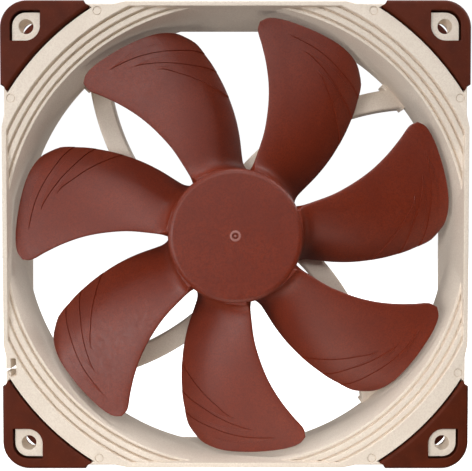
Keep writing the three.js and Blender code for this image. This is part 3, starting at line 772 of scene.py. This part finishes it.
def blade_rows(chords):
    """Spans of every row of the grid at each chord, and how far the front is raised there."""
    wall, rows_on_wedge = WEDGE["wall"], GRID["rows_on_wedge"]
    spans, raises = [], []

    def add(span, raised):
        spans.append(span)
        raises.append(raised)

    flat = np.zeros_like(chords)
    for root in GRID["root_spans"]:
        add(flat + root, flat)
    below, rows = spans[-1], GRID["rows_below_wedges"]
    for wedge in WEDGES:
        hub_edge = edge_curve(wedge["hub_edge"], wedge["ends"][0], chords)
        tip_edge = edge_curve(wedge["tip_edge"], wedge["ends"][1], chords)
        ramp = np.clip((chords - wedge["start"]) / WEDGE["start_ramp"], 0, 1)
        ramp *= np.clip((1 - chords) / WEDGE["end_ramp"], WEDGE["least_end"], 1)
        high, low = WEDGE["rise_at_hub_edge"] * ramp, WEDGE["rise_at_tip_edge"] * ramp
        for t in np.linspace(0, 1, rows + 1)[1:]:
            add(lerp(below, hub_edge, t), flat)
        for t in np.linspace(0, 1, rows_on_wedge):
            add(lerp(hub_edge + wall, tip_edge - wall, t), lerp(high, low, t))
        below, rows = tip_edge, GRID["rows_between_wedges"]
        add(below, flat)
    tips = GRID["tip_spans"]
    for t in np.linspace(0, 1, GRID["rows_above_wedges"])[1:-1]:
        add(lerp(below, tips[0], t), flat)
    for tip in tips:
        add(flat + tip, flat)
    return np.array(spans), np.array(raises)


def distances(points, axis):
    """How far each grid point is from the first one along its row or column."""
    steps = np.linalg.norm(np.diff(points, axis=axis), axis=-1)
    start = np.zeros_like(np.take(steps, [0], axis))
    return np.concatenate([start, np.cumsum(steps, axis)], axis)


def blade_skins(chord, span, raised):
    """Grids of points on the blade's front and back, which meet along its edge."""
    surface = blade_points(span, chord)
    normal = blade_normals(span, chord)
    along, up = distances(surface, 1), distances(surface, 0)
    to_edge = np.minimum(np.minimum(along, along[:, -1:] - along), up[-1:] - up)
    inside = np.clip(1 - to_edge / (BLADE["edge_thickness"] / 2), 0, 1)
    rounding = np.sqrt(1 - inside**2)
    full = lerp(BLADE["root_thickness"], BLADE["tip_thickness"], span)
    fullness = np.sin(np.pi * np.clip(chord, 0, 1)) ** 0.5
    half = lerp(BLADE["edge_thickness"], full, fullness) / 2

    fillet = BLADE["fillet"]
    from_hub = np.hypot(surface[..., 0], surface[..., 1]) - HUB["radius"]
    near = np.clip(1 - from_hub / fillet, 0, 1)
    flare = fillet * (1 - np.sqrt(1 - near**2))
    front_room = surface[..., 2] - half - BLADE["fillet_front"]
    back_room = BLADE["fillet_back"] - surface[..., 2] - half
    front_flare = np.minimum(flare, np.maximum(front_room, 0))
    back_flare = np.minimum(front_flare, np.maximum(back_room, 0))
    front = surface + normal * ((half + raised + front_flare) * rounding)[..., None]
    back = surface - normal * ((half + back_flare) * rounding)[..., None]
    return front, back


def blade():
    """One blade: a front and a back skin that meet in a rounded edge, and flare at the root."""
    edge = np.array(GRID["edge_chords"])
    chords = np.array([*edge, *GRID["middle_chords"], *(1 - edge[::-1])])
    span, raised = blade_rows(chords)
    front, back = blade_skins(np.broadcast_to(chords, span.shape), span, raised)
    rows, columns = span.shape
    skin = rows * columns
    faces = []
    for i in range(rows - 1):
        for j in range(columns - 1):
            a = i * columns + j
            loop = (a, a + 1, a + columns + 1, a + columns)
            faces += [loop, tuple(k + skin for k in loop[::-1])]
    for j in range(columns - 1):
        faces.append((j + 1, j, j + skin, j + 1 + skin))
    return solid([*front.reshape(-1, 3), *back.reshape(-1, 3)], faces)


def hub():
    """The hub as a full block, with the gate's mark and a rounded front edge."""
    radius, front, back, rounding = HUB["radius"], HUB["front"], HUB["back"], HUB["rounding"]
    edge = HUB["back_edge"]
    profile = [(r, front + depth) for r, depth in GATE]
    profile += [(r, front) for r in HUB_RINGS]
    profile += arc((radius - rounding, front + rounding), rounding, -90, 0, RIM_STEPS)
    profile += [(radius, back - edge), (radius - edge, back), (0, back)]
    return turned(profile)


def impeller():
    """Hub and blades in one moulding, with the cavity for the motor."""
    inner, roof, back = HUB["radius"] - HUB["wall"], HUB["front"] + HUB["roof"], HUB["back"]
    cavity = turned([(0, roof), (inner, roof), (inner, back + BEYOND), (0, back + BEYOND)])
    moulding = combine(hub(), around(BLADES, blade()))
    return combine(moulding, [cavity], "DIFFERENCE")


def label():
    """The blank round label in the recess behind the motor."""
    radius, front, back, edge = (LABEL[k] for k in ("radius", "front", "back", "edge"))
    profile = [(0, front), (radius, front), (radius, back - edge), (radius - edge, back)]
    return turned([*profile, (0, back)])


# ------------ materials
def linear(red, green, blue):
    """A screen colour from 0 to 255 as the linear colour that a shader takes."""
    out = []
    for value in (red, green, blue):
        v = value / 255
        out.append(v / 12.92 if v <= 0.04045 else ((v + 0.055) / 1.055) ** 2.4)
    return (*out, 1)


def add_node(tree, kind, inputs=None, **settings):
    """A new node with its settings. Each input is linked to a socket or set to a value."""
    node = tree.nodes.new(kind)
    for name, value in settings.items():
        setattr(node, name, value)
    for name, value in (inputs or {}).items():
        if isinstance(value, bpy.types.NodeSocket):
            tree.links.new(value, node.inputs[name])
        else:
            node.inputs[name].default_value = value
    return node


class Nodes:
    """A material's node tree, with short calls for the nodes that the surfaces need."""

    def __init__(self, name):
        self.material = bpy.data.materials.new(name)
        self.material.use_nodes = True
        self.tree = self.material.node_tree
        self.shader = self.tree.nodes["Principled BSDF"]
        self.place = self.add("ShaderNodeTexCoord").outputs["Object"]

    def add(self, kind, inputs=None, **settings):
        return add_node(self.tree, kind, inputs, **settings)

    def noise(self, size, detail=2.0, place=None):
        """Noise with grains of about that size in millimetres."""
        inputs = {"Vector": place or self.place, "Scale": 1000 / size, "Detail": detail}
        return self.add("ShaderNodeTexNoise", inputs).outputs["Fac"]

    def ramp(self, value, low, high, to_low=0.0, to_high=1.0):
        """A value's range from low to high, spread over another range and kept in it."""
        inputs = {"Value": value, "From Min": low, "From Max": high}
        inputs.update({"To Min": to_low, "To Max": to_high})
        return self.add("ShaderNodeMapRange", inputs).outputs["Result"]

    def mix(self, share, first, second):
        """Two colours mixed. The node numbers its sockets for colours 6 and 7, and 2."""
        inputs = {0: share, 6: first, 7: second}
        return self.add("ShaderNodeMix", inputs, data_type="RGBA").outputs[2]

    def from_axis(self):
        """The distance from the fan's axis, in metres."""
        flat = self.add("ShaderNodeMapping", {"Vector": self.place, "Scale": (1, 0, 1)})
        length = self.add("ShaderNodeVectorMath", {0: flat.outputs[0]}, operation="LENGTH")
        return length.outputs["Value"]

    def calculate(self, operation, first, second):
        return self.add("ShaderNodeMath", {0: first, 1: second}, operation=operation).outputs[0]

    def bump(self, height, depth, normal=None):
        """A bump whose full height is that depth in millimetres."""
        inputs = {"Height": height, "Distance": depth / 1000, "Strength": 1.0}
        if normal:
            inputs["Normal"] = normal
        return self.add("ShaderNodeBump", inputs).outputs["Normal"]

    def finish(self, colour, roughness, normal=None, **constants):
        """Links the surface's own sockets, and sets those that are the same all over."""
        self.tree.links.new(colour, self.shader.inputs["Base Color"])
        self.tree.links.new(roughness, self.shader.inputs["Roughness"])
        if normal:
            self.tree.links.new(normal, self.shader.inputs["Normal"])
        for name, value in constants.items():
            self.shader.inputs[name.replace("_", " ")].default_value = value
        return self.material


def gate_highlight_mask(nodes):
    """One on the raised ring of the gate's mark and on the dot in its middle, else nought. There a
    lighter colour paints a highlight.
    """
    radius = nodes.from_axis()
    outer = nodes.ramp(radius, 0.00155, 0.00175, 1, 0)
    inner = nodes.ramp(radius, 0.00092, 0.00104)
    dot = nodes.ramp(radius, 0.0003, 0.00042, 1, 0)
    return nodes.calculate("MAXIMUM", nodes.calculate("MULTIPLY", outer, inner), dot)


def moulded_plastic(name, colour, shade, speckle, grain, roughness, specular, gate_highlight=None):
    """Moulded plastic: a spark-eroded grain with dark speckles, faint flow mottling, and a painted
    gate highlight.
    """
    nodes = Nodes(name)
    mottle = nodes.ramp(nodes.noise(9, 4), 0.35, 0.65)
    tone = nodes.mix(mottle, linear(*colour), linear(*shade))
    grains = nodes.ramp(nodes.noise(0.45, 3), 0.4, 0.65)
    tone = nodes.mix(grains, tone, linear(*speckle))
    # The gate's raised ring and central dot get a lighter colour: a painted highlight.
    if gate_highlight:
        tone = nodes.mix(gate_highlight_mask(nodes), tone, linear(*gate_highlight))
    gloss = nodes.ramp(nodes.noise(1.2, 3), 0.3, 0.7, roughness - 0.05, roughness + 0.06)
    fine = nodes.bump(nodes.noise(0.16, 2), grain)
    waves = nodes.bump(nodes.noise(6, 1), 0.03, fine)
    return nodes.finish(tone, gloss, waves, Specular_IOR_Level=specular)


def silicone(name, colour, shade):
    """Soft dark silicone: matt, faintly cloudy, with a little dust in its grain."""
    nodes = Nodes(name)
    cloud = nodes.ramp(nodes.noise(5, 4), 0.35, 0.7)
    tone = nodes.mix(cloud, linear(*colour), linear(*shade))
    dust = nodes.ramp(nodes.noise(0.5, 4), 0.58, 0.75, 0, 0.12)
    tone = nodes.mix(dust, tone, linear(140, 100, 80))
    gloss = nodes.ramp(nodes.noise(1.5, 3), 0.3, 0.7, 0.5, 0.62)
    fine = nodes.bump(nodes.noise(0.2, 2), 0.012)
    return nodes.finish(tone, gloss, fine, Specular_IOR_Level=0.14)


def metal(name, colour, shade, roughness, grain, metallic):
    """Metal with fine turning or drawing marks and slightly uneven colour."""
    nodes = Nodes(name)
    stretch = nodes.add("ShaderNodeMapping", {"Vector": nodes.place, "Scale": (0.15, 1, 0.15)})
    marks = nodes.noise(grain, 3, stretch.outputs[0])
    tone = nodes.mix(nodes.ramp(marks, 0.3, 0.7), linear(*colour), linear(*shade))
    gloss = nodes.ramp(marks, 0.3, 0.7, roughness - 0.06, roughness + 0.1)
    return nodes.finish(tone, gloss, nodes.bump(marks, 0.01), Metallic=metallic)


def windings(name):
    """Enamelled copper wire, wound side by side round the tooth, with painted shade between the
    turns and a painted highlight along each turn.
    """
    nodes = Nodes(name)
    wave = nodes.add("ShaderNodeTexWave", {"Vector": nodes.place, "Scale": 900.0})
    turns = nodes.ramp(wave.outputs["Fac"], 0, 1)
    # The wave's dark and light bands are painted shade between the turns and a painted highlight
    # on each turn.
    tone = nodes.mix(turns, linear(92, 42, 18), linear(196, 112, 58))
    gloss = nodes.ramp(nodes.noise(1, 2), 0.3, 0.7, 0.25, 0.4)
    return nodes.finish(tone, gloss, nodes.bump(turns, 0.08), Metallic=0.85)


def circuit_board_finish(name):
    """Green solder mask over faint copper tracks."""
    nodes = Nodes(name)
    cells = nodes.add("ShaderNodeTexVoronoi", {"Vector": nodes.place, "Scale": 320.0})
    tracks = nodes.ramp(cells.outputs["Distance"], 0.3, 0.42)
    tone = nodes.mix(tracks, linear(30, 74, 44), linear(44, 104, 62))
    gloss = nodes.ramp(nodes.noise(2, 2), 0.3, 0.7, 0.25, 0.4)
    return nodes.finish(tone, gloss, nodes.bump(tracks, 0.03))


def paper(name, colour, shade):
    """A printed label's paper: fine fibres, and a thin darker line near its rim."""
    nodes = Nodes(name)
    fibres = nodes.ramp(nodes.noise(0.6, 6), 0.35, 0.65, 0, 0.5)
    tone = nodes.mix(fibres, linear(*colour), linear(*shade))
    radius = nodes.from_axis()
    near = nodes.ramp(radius, 0.0172, 0.0174)
    far = nodes.ramp(radius, 0.0178, 0.0180, 1, 0)
    line = nodes.calculate("MULTIPLY", near, far)
    tone = nodes.mix(line, tone, linear(96, 50, 40))
    gloss = nodes.ramp(fibres, 0, 0.5, 0.42, 0.55)
    return nodes.finish(tone, gloss, nodes.bump(fibres, 0.01))


# Each moulded plastic: three tones, depth of the grain in millimetres, roughness and gloss.
PLASTICS = {
    "frame_plastic": ((240, 227, 211), (234, 220, 204), (229, 214, 198), 0.012, 0.5, 0.4),
    "insulator_plastic": ((226, 220, 204), (216, 208, 190), (206, 198, 180), 0.01, 0.45, 0.5),
    "black_plastic": ((34, 34, 36), (26, 26, 28), (20, 20, 22), 0.01, 0.45, 0.5),
    "impeller_plastic": ((125, 41, 11), (115, 36, 9), (103, 30, 7), 0.03, 0.45, 0.5),
}
# A lighter, pinker colour painted on the gate's raised ring and central dot: a painted highlight.
GATE_HIGHLIGHT = {"impeller_plastic": (160, 106, 98)}
# Each metal: two tones, roughness, size of the marks in millimetres, and how metallic it is.
METALS = {
    "steel": ((196, 198, 200), (150, 152, 156), 0.3, 0.3, 1),
    "magnet": ((52, 50, 52), (34, 32, 34), 0.6, 0.5, 0.3),
    "brass": ((196, 156, 84), (160, 122, 60), 0.3, 0.3, 1),
    "bronze": ((150, 112, 70), (112, 82, 50), 0.45, 0.25, 1),
    "lamination": ((124, 126, 130), (86, 88, 92), 0.4, 0.5, 1),
    "capacitor": ((150, 118, 84), (120, 92, 64), 0.5, 0.4, 0.4),
}
MATERIALS = {
    "pad_silicone": silicone("pad_silicone", (88, 33, 13), (76, 28, 11)),
    "copper": windings("copper"),
    "board": circuit_board_finish("board"),
    "label": paper("label", (222, 206, 184), (206, 188, 164)),
}
for slot_name, look in PLASTICS.items():
    MATERIALS[slot_name] = moulded_plastic(slot_name, *look, GATE_HIGHLIGHT.get(slot_name))
for slot_name, look in METALS.items():
    MATERIALS[slot_name] = metal(slot_name, *look)


# ------------ pieces
SMOOTH_ANGLE = 32  # edges sharper than this stay sharp


def finished(obj, name, body, slot, nodes):
    """Turns a solid into a finished piece that rides on a body and stands for CAD nodes."""
    obj.name = name
    obj.data.name = name
    mesh = obj.data
    mesh.transform(Matrix.Scale(0.001, 4))
    mesh.materials.clear()
    mesh.materials.append(MATERIALS[slot])
    mesh.polygons.foreach_set("use_smooth", [True] * len(mesh.polygons))
    mesh.set_sharp_from_angle(angle=math.radians(SMOOTH_ANGLE))
    weighted = obj.modifiers.new("weighted normals", "WEIGHTED_NORMAL")
    weighted.keep_sharp = True
    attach(obj, body)
    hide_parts(*nodes)
    return obj


def make_pads():
    """Four pads in front, and the same four turned over for the rear."""
    first = corner_pad()
    over = Matrix.Rotation(math.pi, 4, Vector((1, 0, 1)))
    for i, corner in enumerate(("upper_right", "upper_left", "lower_left", "lower_right")):
        turn = Matrix.Rotation(-math.pi / 2 * i, 4, "Y")
        for side, matrix in (("front", turn), ("rear", turn @ over)):
            node = f"{side}_pad_{corner}"
            finished(moved(first, matrix), f"{node}_detailed", "housing", "pad_silicone", [node])
    bpy.data.objects.remove(first)


def make_pieces():
    finished(frame_piece(), "frame_detailed", "housing", "frame_plastic", ["frame"])
    finished(impeller(), "impeller_detailed", "rotor", "impeller_plastic", ["impeller"])
    finished(label(), "label_detailed", "housing", "label", ["rear_label"])
    make_pads()


def dress_cad_nodes():
    """The motor's inner parts keep their CAD shapes and get the same kind of materials."""
    for part in frame["record"]["subparts"]:
        for slot in frame["nodes"][part["node"]].material_slots:
            slot.material = MATERIALS[part["material_slot"]]


# ------------ the studio
LIGHT_DISTANCE = 0.9
LIGHT_SIZE = 0.4
# Each softbox: tilt off the viewing axis and turn from the right-hand side, in degrees; watts.
LIGHTS = {
    "key": (38, 180, 3.8),
    "front top": (35, 90, 2.5),
    "front right": (33, 45, 0.6),
    "side left": (85, 180, 1.8),
    "side top left": (85, 135, 1.6),
    "side top": (85, 90, 3.4),
    "side top right": (85, 45, 4.0),
    "rear top right": (125, 35, 1.4),
}
# A small warm light close below the front, for the lower edge of the frame.
LOW_LIGHT = dict(place=(0.0, -0.09, -0.15), size=0.12, power=0.09, colour=(1, 0.95, 0.88))

WHITE = (1, 1, 1, 1)
SEEN_GLOW = 1.05  # strength of the white that the camera sees
FRONT_GLOW = 0.05  # strength of the surroundings' light from every side
BACKDROP_GLOW = 0.38  # what the bright backdrop adds, in the fan's diffuse light only
BACKDROP_EDGE = (0.1, 0.6)  # the part of a direction that points to the rear, where it fades in

FLOOR = dict(size=3.0, drop=0.0001, grey=0.86, roughness=0.9, glow=0.95)

CAMERA = dict(
    place=(0.0002, -0.1958, 0.0010),
    down=1.24,  # degrees
    lens=46.95,
    sensor=36,
    shift=(-0.0003, 0.0224),
    clip_start=0.01,
)


def make_world():
    """White surroundings: a bright backdrop behind the fan, and little light from the front."""
    world = bpy.data.worlds.new("studio")
    SCENE.world = world
    world.use_nodes = True
    tree = world.node_tree
    seen = tree.nodes["Background"]
    seen.inputs["Color"].default_value = WHITE
    seen.inputs["Strength"].default_value = SEEN_GLOW

    place = add_node(tree, "ShaderNodeTexCoord").outputs["Generated"]
    to_rear = add_node(tree, "ShaderNodeSeparateXYZ", {0: place}).outputs["Y"]
    start, end = BACKDROP_EDGE
    fade = {"Value": to_rear, "From Min": start, "From Max": end, "To Max": BACKDROP_GLOW}
    backdrop = add_node(tree, "ShaderNodeMapRange", fade).outputs["Result"]
    path = add_node(tree, "ShaderNodeLightPath").outputs
    factors = {0: backdrop, 1: path["Is Diffuse Ray"]}
    diffuse = add_node(tree, "ShaderNodeMath", factors, operation="MULTIPLY").outputs[0]
    glow = add_node(tree, "ShaderNodeMath", {0: diffuse, 1: FRONT_GLOW}, operation="ADD")
    light = {"Color": WHITE, "Strength": glow.outputs[0]}
    other = add_node(tree, "ShaderNodeBackground", light)
    shaders = {0: path["Is Camera Ray"], 1: other.outputs[0], 2: seen.outputs[0]}
    mix = add_node(tree, "ShaderNodeMixShader", shaders)
    tree.links.new(mix.outputs[0], tree.nodes["World Output"].inputs["Surface"])


def make_floor():
    """A plain white floor under the fan, which neither lights nor shades it."""
    place = (0, 0, CAD_BOX[0].z - FLOOR["drop"])
    bpy.ops.mesh.primitive_plane_add(size=FLOOR["size"], location=place)
    floor = bpy.context.object
    floor.name = "floor"
    material = bpy.data.materials.new("floor")
    material.use_nodes = True
    tree = material.node_tree
    paint = tree.nodes["Principled BSDF"]
    paint.inputs["Base Color"].default_value = (*[FLOOR["grey"]] * 3, 1)
    paint.inputs["Roughness"].default_value = FLOOR["roughness"]
    glow = add_node(tree, "ShaderNodeEmission", {"Strength": FLOOR["glow"]})
    both = add_node(tree, "ShaderNodeAddShader", {0: paint.outputs[0], 1: glow.outputs[0]})
    tree.links.new(both.outputs[0], tree.nodes["Material Output"].inputs["Surface"])
    floor.data.materials.append(material)
    floor.visible_diffuse = False
    floor.visible_glossy = False
    floor.visible_shadow = False


def softbox(name, place, size, power, colour=(1, 1, 1)):
    """A square area light that faces the middle of the fan."""
    light = bpy.data.lights.new(name, "AREA")
    light.shape = "SQUARE"
    light.size = size
    light.energy = power
    light.color = colour
    obj = bpy.data.objects.new(name, light)
    obj.location = place
    obj.rotation_euler = (-Vector(place)).to_track_quat("-Z", "Y").to_euler()
    SCENE.collection.objects.link(obj)


def make_lights():
    """Softboxes at one distance, each placed by its tilt off the viewing axis and its turn."""
    for name, (tilt, turn, power) in LIGHTS.items():
        tilt, turn = math.radians(tilt), math.radians(turn)
        aside = LIGHT_DISTANCE * math.sin(tilt)
        in_front = -LIGHT_DISTANCE * math.cos(tilt)
        place = (aside * math.cos(turn), in_front, aside * math.sin(turn))
        softbox(name, place, LIGHT_SIZE, power)
    softbox("low front", **LOW_LIGHT)


def make_camera():
    """At the photograph's viewing point: close in front of the hub, looking very slightly down."""
    camera = bpy.data.cameras.new("camera")
    camera.lens = CAMERA["lens"]
    camera.sensor_width = CAMERA["sensor"]
    camera.clip_start = CAMERA["clip_start"]
    camera.shift_x, camera.shift_y = CAMERA["shift"]
    obj = bpy.data.objects.new("camera", camera)
    obj.location = CAMERA["place"]
    obj.rotation_euler = (math.radians(90 - CAMERA["down"]), 0, 0)
    SCENE.collection.objects.link(obj)
    SCENE.camera = obj


SCENE.view_settings.view_transform = "Standard"
make_camera()
make_world()
make_lights()
make_pieces()
dress_cad_nodes()
make_floor()
